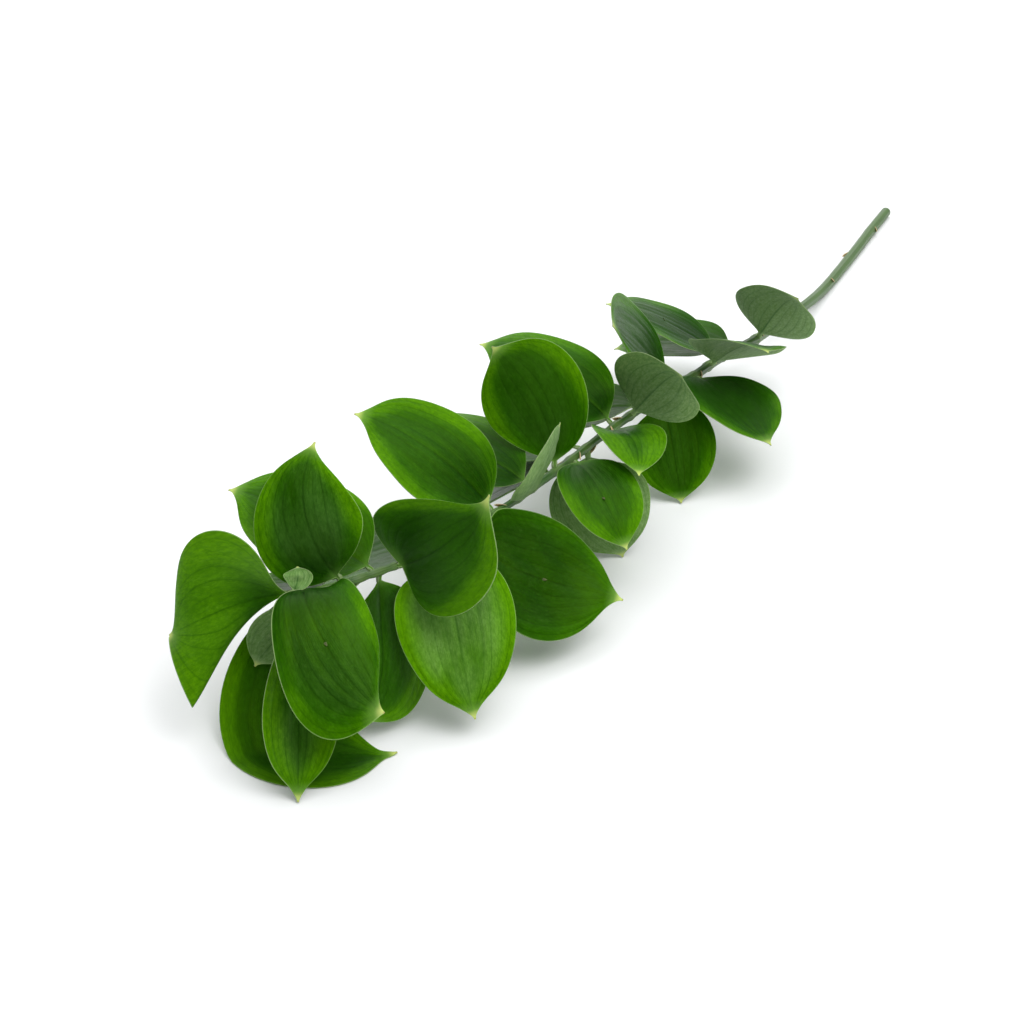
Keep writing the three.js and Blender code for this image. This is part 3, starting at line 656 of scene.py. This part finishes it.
# %% One papery scale
SCALE_COLUMNS, SCALE_ROWS = 6, 12
SCALE_LENGTH, SCALE_THICKNESS = 5, 0.28
SCALE_HALF_WIDTH, SCALE_END_HALF_WIDTH = 1.3, 0.12
SCALE_LIFT, SCALE_SINK = 1.6, 0.9  # of its point off the stem, and of its root into it
SCALE_HOLLOW, SCALE_BOW = 0.5, 0.25  # across at the root, and from root to point
TEAR = 0.10  # how unevenly its edge ends

scale_blank, across, run = add_grid("scale_blank", SCALE_COLUMNS, SCALE_ROWS)
span = across * 2 - 1
half = SCALE_HALF_WIDTH * np.cos(np.pi / 2 * run ** 1.5) + SCALE_END_HALF_WIDTH
torn = TEAR * np.sin(31 * run + 3 * span) * abs(span) * run
rise = (SCALE_LIFT + SCALE_SINK) * run - SCALE_HOLLOW * span * span * (1 - run)
rise = rise + SCALE_BOW * np.sin(np.pi * run)
ahead = SCALE_LENGTH * (run + torn * 0.3)
set_points(scale_blank, np.stack([ahead, half * span * (1 + torn), rise], axis=-1))
store_numbers(scale_blank.data, {"paper_run": run, "paper_span": span})
scale_blank.data.materials.append(PAPER)
apply_modifier(scale_blank, "SOLIDIFY", thickness=SCALE_THICKNESS * MM, offset=0)
scale_blank.data.shade_smooth()
print("scale:", len(scale_blank.data.polygons), "faces")


def place_scale(name, root, ahead, out, size):
    """A copy of the scale, from its root in millimetres, pointing ahead and rising out."""
    side = np.cross(out, ahead)
    piece = copy_of(scale_blank, name)
    turn = Matrix([list(ahead * size), list(side * size), list(out * size)]).transposed().to_4x4()
    piece.data.transform(Matrix.Translation(Vector(root * MM + SHIFT)) @ turn)
    return piece


# %% [markdown]
# ## The blades
# Every blade is one flat sheet that is bent by its own midrib, so it is modelled once: a grid
# that stands for the blade's own span, from edge to edge, and run, from foot to point. A copy of
# it is laid over each midrib, point by point, because no tool bends a sheet to a given midrib and
# roll at once. Solidify then gives it its two faces and a rim, thick at the foot and thin at the
# margin. The veins are slight valleys in the sheet itself, so they show in raking light.

# %% The blank that every blade starts from
BLADE_COLUMNS, BLADE_ROWS = 60, 84
blank, across, along = add_grid("blade_blank", BLADE_COLUMNS, BLADE_ROWS)
column = np.round(across * BLADE_COLUMNS).astype(int)
row = np.round(along * BLADE_ROWS).astype(int)
print("blank:", len(row), "points, columns to", column.max(), "rows to", row.max())

# %% How wide a blade is
FOOT_HALF_WIDTH, POINT_HALF_WIDTH = 0.9, 0.23
POINT_SWELL, POINT_SWELL_AT, POINT_SWELL_REACH = 0.75, 3.2, 2.4  # keeps the point's base broad
STALK_SHARE = 0.03  # of the blade's length, before it widens
OPENING, CLOSING = 24, 18  # the higher, the more suddenly the outline opens and closes


def outline(run, low, lean):
    """Half the blade's width, as a share of its widest place."""
    u = np.clip((run - STALK_SHARE) / (1 - STALK_SHARE), 0, 1)
    body = np.clip(np.sin(np.pi * u ** low), 0, 1) ** lean
    return body * (1 - u ** CLOSING) ** 3 * (1 - (1 - u) ** OPENING)


def half_width(blade, run, length):
    """Half the blade's width in millimetres, with its stalk and its stiff point."""
    half = blade["wide"] / 2 * outline(run, blade["low"], blade["lean"])
    half = half + FOOT_HALF_WIDTH + (POINT_HALF_WIDTH - FOOT_HALF_WIDTH) * run
    to_tip = length * (1 - run)
    return half + POINT_SWELL * np.exp(-((to_tip - POINT_SWELL_AT) / POINT_SWELL_REACH) ** 2)


# %% The midrib of a blade
CURVE_SAMPLES = 401
FOOT_GAP = 0.35  # between the stem and the broad end of the stalk
ROOT_ROWS, ROOT_SINK = 3, 0.9  # rows that root the stalk in the stem, and how deep they start
END_CROWDING = 0.4  # 0 for even rows, 1 for rows that crowd towards both ends


def face_vector(azimuth, elevation):
    a, e = math.radians(azimuth), math.radians(elevation)
    return np.array([math.cos(e) * math.cos(a), math.cos(e) * math.sin(a), math.sin(e)])


def bezier_points(ends, shares):
    """Points of a cubic curve at shares of its length, and that length."""
    t = np.linspace(0, 1, CURVE_SAMPLES)[:, None]
    a, b, c, d = ends
    dense = (1 - t) ** 3 * a + 3 * (1 - t) ** 2 * t * b + 3 * (1 - t) * t * t * c + t ** 3 * d
    length = length_along(dense)
    reach = np.clip(shares, 0, 1) * length[-1]
    points = np.stack([np.interp(reach, length, dense[:, k]) for k in range(3)], axis=-1)
    return points, length[-1]


def carried_normals(tangents, face):
    """Normals that start at mid-length towards face and are carried to both ends."""
    middle = len(tangents) // 2
    normals = np.zeros_like(tangents)
    normals[middle] = unit(face - (face @ tangents[middle]) * tangents[middle])
    for i in list(range(middle + 1, len(tangents))) + list(range(middle - 1, -1, -1)):
        before = normals[i - 1] if i > middle else normals[i + 1]
        normals[i] = unit(before - (before @ tangents[i]) * tangents[i])
    return normals


def midrib(blade):
    """The midrib's points and directions at the rows of the blank, rooted in the stem."""
    along = along_at(blade["at"])
    centre, tangent = axis_point(along)[0], axis_tangent(along)[0]
    heading = unit(np.array(blade["way"][0], float) - centre)
    out = unit(heading - (heading @ tangent) * tangent)
    radius = stem_radius(along)[0]
    foot = centre + out * (radius + FOOT_GAP + FOOT_HALF_WIDTH * abs(heading @ tangent))
    even = np.linspace(0, 1, BLADE_ROWS + 1 - ROOT_ROWS)
    run = (1 - END_CROWDING) * even + END_CROWDING * (1 - np.cos(np.pi * even)) / 2
    points, length = bezier_points(np.vstack([foot, blade["way"]]), run)
    tangents = unit(np.gradient(points, axis=0))
    normals = carried_normals(tangents, face_vector(*blade["face"]))
    inner = centre + out * (radius - ROOT_SINK)
    steps = np.linspace(0, 1, ROOT_ROWS + 1)[:-1, None]
    points = np.vstack([inner + (foot - inner) * steps, points])
    tangents, normals = (np.pad(v, ((ROOT_ROWS, 0), (0, 0)), "edge") for v in (tangents, normals))
    return points, tangents, normals, np.pad(run, (ROOT_ROWS, 0)), length


# %% Roll and ripple of a blade's halves
NO_FOLD = 1e-6  # keeps a flat half from being divided by zero
LEFT_WAVE_LEAD = 1.9  # radians by which the left edge's ripple runs ahead


def turned(sides, normals, degrees):
    """Both directions, turned about the midrib."""
    r = np.radians(degrees)[:, None]
    return sides * np.cos(r) + normals * np.sin(r), normals * np.cos(r) - sides * np.sin(r)


def rolled(blade, span, run, half):
    """How far across and how high each point lies once the halves are rolled and rippled."""
    left_foot, left_point, right_foot, right_point = (2 * blade["curl"])[:4]
    left_roll = left_foot + (left_point - left_foot) * run
    right_roll = right_foot + (right_point - right_foot) * run
    fold = np.radians(np.where(span < 0, left_roll, right_roll)) + NO_FOLD
    across = half * np.sin(fold * span) / fold
    rise = half * (1 - np.cos(fold * span)) / fold
    ripple, number, phase = blade["wave"]
    lead = math.radians(phase) + np.where(span < 0, LEFT_WAVE_LEAD, 0)
    waves = np.sin(2 * np.pi * number * run + lead)
    return across, rise + ripple * np.sin(np.pi * run) * span * span * waves


# %% Veins, groove and dents of a blade
NOISE_WAVES, NOISE_PACE, NOISE_CALM = 7, 1.5, 3.0
VEIN_DEPTH, VEIN_REACH = 0.035, 0.7
GROOVE_DEPTH, GROOVE_REACH, GROOVE_ENDS = 0.5, 1.3, 1 / 1.6  # the last as a share of the run
VALLEYS_RISE, VALLEYS_END, VALLEYS_FADE = 0.12, 0.97, 0.15  # as shares of the run
DENT_ROOM = 6  # half width below which the dents get weaker
BROAD_DENTS, SMALL_DENTS = 0.40, 0.13
SMALL_DENT_SEED = 90


def soft_noise(across, along, seed):
    """A smooth, irregular height between about -1 and 1."""
    draw = np.random.default_rng(seed)
    total = np.zeros(np.broadcast(across, along).shape)
    for _ in range(NOISE_WAVES):
        a, b, phase = draw.normal(0, NOISE_PACE, 3)
        total = total + np.sin(2 * np.pi * (a * across + b * along) + 6.28 * phase)
    return total / NOISE_CALM


def standing_out(span, run, half, lines, waver, seed):
    """How far each point stands out of the rolled sheet: sunk veins and groove, soft dents."""
    vein_gap = abs(lines - np.round(lines)) * half / VEINS_A_SIDE
    inside = np.clip(run / VALLEYS_RISE, 0, 1) * np.clip((VALLEYS_END - run) / VALLEYS_FADE, 0, 1)
    veins = VEIN_DEPTH * np.exp(-(vein_gap / VEIN_REACH) ** 2) * inside
    groove = GROOVE_DEPTH * np.exp(-(span * half / GROOVE_REACH) ** 2)
    groove = groove * np.clip(1 - run / GROOVE_ENDS, 0, 1)
    room = (1 - np.exp(-(half / DENT_ROOM) ** 2)) * np.sin(np.pi * run)
    small = soft_noise(span * 1.5, run * 0.9, seed + SMALL_DENT_SEED)
    return room * (BROAD_DENTS * waver + SMALL_DENTS * small) - veins - groove


# %% Laying the blank over a midrib
EDGE_CROWDING = 1.25  # 1 for even columns, and more for columns that crowd towards the edges
VEIN_WANDER, VEIN_WANDER_SEED = 0.10, 50
FINE_VEIN_WAVER = 0.35
LOBE_FADE = 4  # how quickly the foot's lobes end along the blade
FLICK_FROM = 0.8  # of the blade's length, where its point begins to be drawn aside
TABLE_CLEARANCE = 0.45
GRAIN_STEP = 1.7  # between the noises of two blades


def spread(run, seed):
    """Even places from the left edge, -1, to the right, 1, and those that the points take."""
    even = 2 * column / BLADE_COLUMNS - 1
    span = np.sign(even) * (1 - (1 - abs(even)) ** EDGE_CROWDING)
    wander = soft_noise(even * 0.6, run * 0.8, seed + VEIN_WANDER_SEED)
    return even, span + VEIN_WANDER * (wander * abs(span) * (1 - abs(span)))


def blade_points(blade, seed):
    """Where each point of the blank goes, in millimetres, and the numbers that it carries."""
    points, tangents, normals, run_rows, length = midrib(blade)
    at_foot, at_point = blade["twist"]
    twist = at_foot + (at_point - at_foot) * run_rows
    sides, normals = turned(np.cross(tangents, normals), normals, twist)
    run = run_rows[row]
    even, span = spread(run, seed)
    half = half_width(blade, run, length)
    lines, waver = even * VEINS_A_SIDE, soft_noise(span * 0.35, run * 0.8, seed)
    across, rise = rolled(blade, span, run, half)
    rise = rise + standing_out(span, run, half, lines, waver, seed)
    sweep = np.where(span < 0, *blade["sweep"]) * np.sin(np.pi * run)
    lobe = outline(run, blade["low"], blade["lean"]) * (1 - run) ** LOBE_FADE
    ahead = span * span * (sweep - np.where(span < 0, *blade["heart"]) * lobe)
    place = (points[row] + sides[row] * across[:, None] + normals[row] * rise[:, None]
             + tangents[row] * ahead[:, None])
    drawn = np.clip((run - FLICK_FROM) / (1 - FLICK_FROM), 0, 1) ** 2
    place = place + np.array(blade["flick"]) * drawn[:, None]
    place[:, 2] = np.maximum(place[:, 2], TABLE_CLEARANCE)
    stored = {"run": run, "span": span, "half_mm": half, "edge_mm": half * (1 - abs(span)),
              "vein": lines, "waver": FINE_VEIN_WAVER * waver}
    alike = {"tone": blade["tone"], "dust_and_sheen": blade["dust_and_sheen"], "long_mm": length,
             "grain": seed * GRAIN_STEP}
    stored.update({name: np.full(len(run), value) for name, value in alike.items()})
    return place, stored


# %% The scale in mid-face
FACE_SCALE_SIZE, FACE_SCALE_SINK = 0.45, 0.1


def face_scale(name, place):
    """A papery scale on the upper side of a blade, whose points are given."""
    at = {(r, c): i for i, (r, c) in enumerate(zip(row, column))}
    r, c = ROOT_ROWS + (BLADE_ROWS - ROOT_ROWS) // 2, BLADE_COLUMNS // 2
    root = place[at[r, c]]
    ahead = unit(place[at[r + 1, c]] - place[at[r - 1, c]])
    out = unit(np.cross(place[at[r, c + 1]] - place[at[r, c - 1]], ahead))
    piece = place_scale(name, root - FACE_SCALE_SINK * out, ahead, out, FACE_SCALE_SIZE)
    piece.data.materials[0] = FACE_PAPER
    return piece


# %% Making the blades
FOOT_THICKNESS, MIDDLE_THICKNESS, MARGIN_THICKNESS = 1.5, 0.55, 0.28
MARGIN_WIDTH = 2.5  # over which a blade thins towards its edge
FOOT_SHARE = 0.035  # of the blade's length, over which its foot thins


def thickness(run, edge):
    body = MIDDLE_THICKNESS - MARGIN_THICKNESS
    thick = MARGIN_THICKNESS + body * np.clip(edge / MARGIN_WIDTH, 0, 1)
    return thick + (FOOT_THICKNESS - thick) * np.exp(-(run / FOOT_SHARE) ** 2)


def make_blade(name, blade, seed, materials):
    """One blade, with the materials of its upper side, its underside and its rim."""
    piece = copy_of(blank, name)
    place, stored = blade_points(blade, seed)
    set_points(piece, place + SHIFT / MM)
    store_numbers(piece.data, stored)
    for material in materials:
        piece.data.materials.append(material)
    group = piece.vertex_groups.new(name="thickness")
    shares = thickness(stored["run"], stored["edge_mm"]) / FOOT_THICKNESS
    for index, share in enumerate(shares):
        group.add([index], float(share), "REPLACE")
    apply_modifier(piece, "SOLIDIFY", thickness=FOOT_THICKNESS * MM, offset=0,
                   vertex_group="thickness", material_offset=1, material_offset_rim=2,
                   use_even_offset=False)
    piece.data.shade_smooth()
    if blade["scale"]:
        join_into(piece, [face_scale(name + "_scale", place)])
    return piece


for number, (name, blade) in enumerate(BLADES.items()):
    young = name == "young_leaf"
    sides = (UNDER, UNDER, RIM) if young else (UPPER, UNDER, RIM)
    piece = make_blade(name.replace("leaf", "blade"), {**USUAL_BLADE, **blade}, number + 1, sides)
    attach(piece, "root")
    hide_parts(name)
bpy.data.objects.remove(blank)
print("blades made:", len(BLADES), "faces of the last:", len(piece.data.polygons))

# %% [markdown]
# ## The stem
# The stem is a tube that tapers, swells a little at every leaf and carries fine ridges. A tube
# along a curve could come from a bevelled curve, but its radius and ridges would then be hard to
# set. A grid is rolled up instead, each row a ring round the axis, then welded and closed.

# %% How thick the stem is all round
RIDGE_SHARE = 0.035  # of the radius
RIDGES_FULL_AT, FIRST_RIDGES = 60, 0.2  # along the stem, and their share at the cut end
UNEVEN, UNEVEN_PACE, UNEVEN_SEED = 0.05, 40, 3
END_ROUNDING, END_BEYOND, END_LEAST = 3.0, 0.6, 0.05


def ridged_radius(turn, share, along):
    """The radius with ridges, a slight unevenness and a rounded growing end."""
    ridges = RIDGE_SHARE * np.cos(2 * np.pi * turn * RIDGES)
    radius = stem_radius(along) * (1 + ridges * np.clip(along / RIDGES_FULL_AT, FIRST_RIDGES, 1))
    radius = radius + UNEVEN * soft_noise(0, share * UNEVEN_PACE, UNEVEN_SEED)
    closing = (STEM_LENGTH + END_BEYOND - along) / END_ROUNDING
    return radius * np.sqrt(np.clip(closing, END_LEAST, 1))


def up_and_side(along):
    """What is up and what is sideways, square to the axis."""
    tangents = axis_tangent(along)
    up = unit(np.array([0, 0, 1.0]) - tangents * tangents[:, 2:3])
    return up, np.cross(up, tangents)


# %% Rolling a grid up into the stem
STEM_AROUND, STEM_RINGS = 36, 420
END_GAP = 0.2  # between the last ring and the end of the axis
STEM_CLEARANCE = 0.02  # above the table
PALE_REACH = 4.0  # how far from a leaf the skin is paler

stem, turn, share = add_grid("stem_body", STEM_AROUND, STEM_RINGS)
along = share * (STEM_LENGTH - END_GAP)
angle, radius = 2 * np.pi * turn, ridged_radius(turn, share, along)
up, side = up_and_side(along)
place = side * (radius * np.sin(angle))[:, None] - up * (radius * np.cos(angle))[:, None]
place = axis_point(along) + place
place[:, 2] = np.maximum(place[:, 2], STEM_CLEARANCE)
set_points(stem, place + SHIFT / MM)
near = near_leaves(along, PALE_REACH)
store_numbers(stem.data, {"along": share, "round": turn, "near_node": near})
stem.data.materials.append(STEM_SKIN)
stem.data.materials.append(CUT)
print("stem points:", len(place))

# %% Welding the seam and closing both ends
bpy.ops.object.mode_set(mode="EDIT")
bpy.ops.mesh.select_all(action="SELECT")
bpy.ops.mesh.remove_doubles(threshold=1e-6)
bpy.ops.mesh.select_all(action="DESELECT")
bpy.ops.mesh.select_non_manifold()
bpy.ops.mesh.edge_face_add()
bpy.ops.mesh.select_all(action="SELECT")
bpy.ops.mesh.normals_make_consistent(inside=False)
bpy.ops.object.mode_set(mode="OBJECT")
ends = [f for f in stem.data.polygons if len(f.vertices) > 4]
print("end faces:", len(ends), [len(f.vertices) for f in ends])
stem.data.shade_smooth()
for face in ends:
    face.material_index = 1
    face.use_smooth = False

# %% [markdown]
# ## The scales on the stem
# Each blade grows out of the angle above a scale, so a scale goes on the stem a little below it, on
# the same side. Where two blades stand close together there is room for one only. The bare lower
# stretch has a few scales whose shoots never grew. All of them are joined to the stem, because
# they grow from it.

# %% Scales under the blades and on the bare stretch
SCALE_BELOW_BLADE = 7.4  # from the root of a scale to the foot of its blade
SCALE_ROOM = 10  # the least distance to the next blade down the stem
BARE_SCALES = [(26, 70), (64, -85), (103, 40), (143, -120), (183, 100)]  # x, degrees from the top


def stem_scale(name, along, out):
    """A scale rooted in the stem, on the side that out points to."""
    centre, tangent = axis_point(along)[0], axis_tangent(along)[0]
    square = unit(out - (out @ tangent) * tangent)
    root = centre + square * (stem_radius(along)[0] - SCALE_SINK)
    return place_scale(name, root, tangent, square, 1)


scales = []
for name, place in LEAF_PLACES.items():
    below = [p for p in LEAF_PLACES.values() if p < place]
    if place - max([0] + below) >= SCALE_ROOM:
        out = np.array(BLADES[name]["way"][0], float) - axis_point(place)[0]
        scales.append(stem_scale("scale_of_" + name, place - SCALE_BELOW_BLADE, out))
for x, degrees in BARE_SCALES:
    along = along_at(x)
    up, side = up_and_side(along)
    out = up[0] * math.cos(math.radians(degrees)) + side[0] * math.sin(math.radians(degrees))
    scales.append(stem_scale("scale_at_%d" % x, along, out))
print("scales on the stem:", len(scales))
join_into(stem, scales)
bpy.data.objects.remove(scale_blank)
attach(stem, "root")
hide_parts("stem")

# %% [markdown]
# ## The table, the light and the camera
# A white table, a large panel overhead, a paler one behind and a soft window at the front right
# keep the shadows faint and give the blades a satin sheen. They are area lamps, because a small
# lamp or the sun would draw hard shadows. The camera looks down at the growing end from its own
# side.

# %% Table
WHITE_PAINT = {"Base Color": (0.92, 0.925, 0.93, 1), "Roughness": 0.8, "Specular IOR Level": 0.1}
clear_selection()
bpy.ops.mesh.primitive_plane_add(size=8)
table = bpy.context.active_object
table.name = "table_top"
material, start = open_material("table_white")
close_material(start, WHITE_PAINT)
table.data.materials.append(material)
print("table:", table.name, "of", round(table.dimensions.x), "m")

# %% Light
WORLD_COLOUR, WORLD_STRENGTH = (0.95, 0.97, 1.0, 1), 0.30
# Square lamps: where each stands, what it shines at, its size and its power.
PANELS = {
    "panel_overhead": ((0.10, 0.05, 1.9), (0.1, 0.05, 0), 3.0, 45),
    "window": ((0.45, 1.0, 1.5), (0.15, 0.0, 0.05), 1.1, 15),
    "backdrop": ((-2.1, -1.6, 1.2), (0.1, 0.0, 0.0), 2.6, 24),
}
world = bpy.data.worlds.new("studio")
bpy.context.scene.world = world
world.use_nodes = True
sky = world.node_tree.nodes["Background"].inputs
sky["Color"].default_value = WORLD_COLOUR
sky["Strength"].default_value = WORLD_STRENGTH

for name, (place, aim, size, power) in PANELS.items():
    lamp = bpy.data.lights.new(name, "AREA")
    lamp.shape, lamp.size, lamp.energy = "SQUARE", size, power
    piece = bpy.data.objects.new(name, lamp)
    bpy.context.scene.collection.objects.link(piece)
    piece.location = place
    piece.rotation_mode = "QUATERNION"
    piece.rotation_quaternion = (Vector(place) - Vector(aim)).to_track_quat("Z", "Y")
print("lamps:", list(PANELS))

# %% Camera
CAMERA_PLACE = np.array([1192.1, 443.4, 529.5])  # in millimetres, like the stem's way
AZIMUTH, ELEVATION, PAN, TILT = (math.radians(angle) for angle in (129.0, 28.0, 7.9, -2.2))
LENS = 84.7

ahead = Vector((-math.sin(AZIMUTH) * math.cos(ELEVATION), math.cos(AZIMUTH) * math.cos(ELEVATION),
                -math.sin(ELEVATION)))
right = ahead.cross(Vector((0, 0, 1))).normalized()
over = right.cross(ahead)
ahead = (ahead + right * math.tan(PAN) + over * math.tan(TILT)).normalized()
camera = bpy.data.objects.new("camera", bpy.data.cameras.new("camera"))
bpy.context.scene.collection.objects.link(camera)
camera.data.lens = LENS
camera.data.clip_start, camera.data.clip_end = 0.05, 20
camera.location = CAMERA_PLACE * MM + SHIFT
camera.rotation_mode = "QUATERNION"
camera.rotation_quaternion = ahead.to_track_quat("-Z", "Y")
bpy.context.scene.camera = camera
bpy.context.scene.view_settings.view_transform = "Standard"
print("camera at:", [round(v, 3) for v in camera.location])
